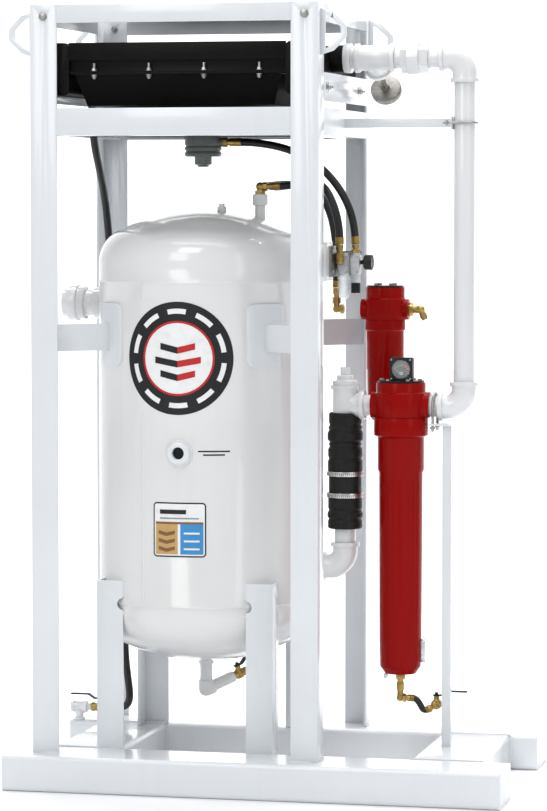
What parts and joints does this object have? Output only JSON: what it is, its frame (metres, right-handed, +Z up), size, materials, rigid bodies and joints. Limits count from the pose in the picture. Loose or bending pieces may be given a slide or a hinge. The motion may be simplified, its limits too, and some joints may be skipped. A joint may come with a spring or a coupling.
{
  "type": "skid-mounted compressed air dryer",
  "caption": "Skid-mounted compressed air dryer: desiccant tank in an upright frame with fan-cooled aftercooler, line filters, pipework and drains.",
  "frame": {"origin": "centre of the skid's plan on the floor", "axes": "+Z up, +X along the skid towards the filters, +Y to the back"},
  "size_m": [1.407, 0.865, 2.187],
  "materials": {
    "white_paint": "gloss enamel",
    "tank_paint": "gloss enamel",
    "pipe_paint": "gloss enamel",
    "grey_mesh": "satin",
    "bare_steel": "turned",
    "desiccant": "granular",
    "rubber": "moulded",
    "stainless": "satin",
    "zinc": "zinc plate",
    "red_paint": "powder coat",
    "filter_media": "pleated",
    "black_plastic": "moulded",
    "pointer": "enamel",
    "clear_glass": "clear",
    "cast_alloy": "cast",
    "clear_bowl": "clear",
    "black_paint": "semi-gloss",
    "motor_paint": "satin",
    "brass": "machined",
    "black_grip": "dipped",
    "hose_rubber": "smooth cover"
  },
  "bodies": {
    "skid": {"skid_rails": "white_paint", "skid_cross_members": "white_paint", "corner_posts": "white_paint", "top_beams": "white_paint", "mid_beams": "white_paint", "top_guard": "grey_mesh", "lifting_handles": "white_paint", "tank_shell": "tank_paint", "tank_legs": "white_paint", "tank_braces": "white_paint", "front_port": "tank_paint", "bed_support_grid": "bare_steel", "desiccant_bed": "desiccant", "top_nozzle": "tank_paint", "outlet_union": "pipe_paint", "pipe_elbows": "pipe_paint", "pipe_runs": "pipe_paint", "pipe_tees": "pipe_paint", "pipe_union": "pipe_paint", "coupling_hose": "rubber", "coupling_bands": "stainless", "pipe_supports": "white_paint", "pipe_u_bolts": "zinc", "main_filter_head": "red_paint", "main_filter_bowl": "red_paint", "after_filter_head": "red_paint", "after_filter_bowl": "red_paint", "filter_elements": "filter_media", "level_glass": "stainless", "pressure_drop_gauge": "black_plastic", "thermometer_case": "stainless", "regulator_gauge": "black_plastic", "gauge_glasses": "clear_glass", "regulator_bracket": "white_paint", "filter_regulator": "cast_alloy", "filter_bowl": "clear_bowl", "cooler_core": "black_paint", "cooler_headers": "black_paint", "fan_shroud": "black_paint", "air_motor": "motor_paint", "motor_bracket": "black_paint", "cooler_brackets": "white_paint", "hex_bolts": "zinc", "valve_bodies": "brass", "drain_pipes": "pipe_paint", "brass_fittings": "brass", "air_hoses": "hose_rubber", "drain_hoses": "hose_rubber"},
    "fan_set": {"fan": "black_plastic", "motor_shaft": "bare_steel"},
    "tank_valve": {"tank_valve_handle": "black_grip"},
    "side_valve": {"side_valve_handle": "black_grip"},
    "filter_valve": {"filter_valve_handle": "black_grip"},
    "knob": {"regulator_knob": "black_plastic"},
    "drop_needle": {"pressure_drop_pointer": "pointer"},
    "temperature_needle": {"thermometer_pointer": "pointer"},
    "pressure_needle": {"regulator_pointer": "pointer"}
  },
  "joints": [
    {"name": "fan_spin", "type": "hinge", "parent": "skid", "child": "fan_set", "pos_m": [-0.229, 0, 1.885], "axis": [0, 0, 1], "continuous": true},
    {"name": "tank_valve_turn", "type": "hinge", "parent": "skid", "child": "tank_valve", "pos_m": [-0.14564, 0.08868, 0.27749], "axis": [-0.1844, -0.2142, 0.9592], "range_deg": [0, 90]},
    {"name": "side_valve_turn", "type": "hinge", "parent": "skid", "child": "side_valve", "pos_m": [-0.614, 0.256, 0.14], "axis": [0, 0, 1], "range_deg": [0, 90]},
    {"name": "filter_valve_turn", "type": "hinge", "parent": "skid", "child": "filter_valve", "pos_m": [0.446, 0.03, 0.216], "axis": [0, 0, 1], "range_deg": [0, 90]},
    {"name": "regulator_turn", "type": "hinge", "parent": "skid", "child": "knob", "pos_m": [0.238, -0.108, 1.402], "axis": [0, 0, 1], "range_deg": [-720, 720]},
    {"name": "drop_needle_turn", "type": "hinge", "parent": "skid", "child": "drop_needle", "pos_m": [0.354, -0.034, 1.16], "axis": [0, 1, 0], "range_deg": [0, 110]},
    {"name": "temperature_needle_turn", "type": "hinge", "parent": "skid", "child": "temperature_needle", "pos_m": [0.272, 0.14784, 1.9672], "axis": [0, -0.88, 0.475], "range_deg": [0, 270]},
    {"name": "pressure_needle_turn", "type": "hinge", "parent": "skid", "child": "pressure_needle", "pos_m": [0.272, -0.108, 1.474], "axis": [-1, 0, 0], "range_deg": [0, 270]}
  ]
}
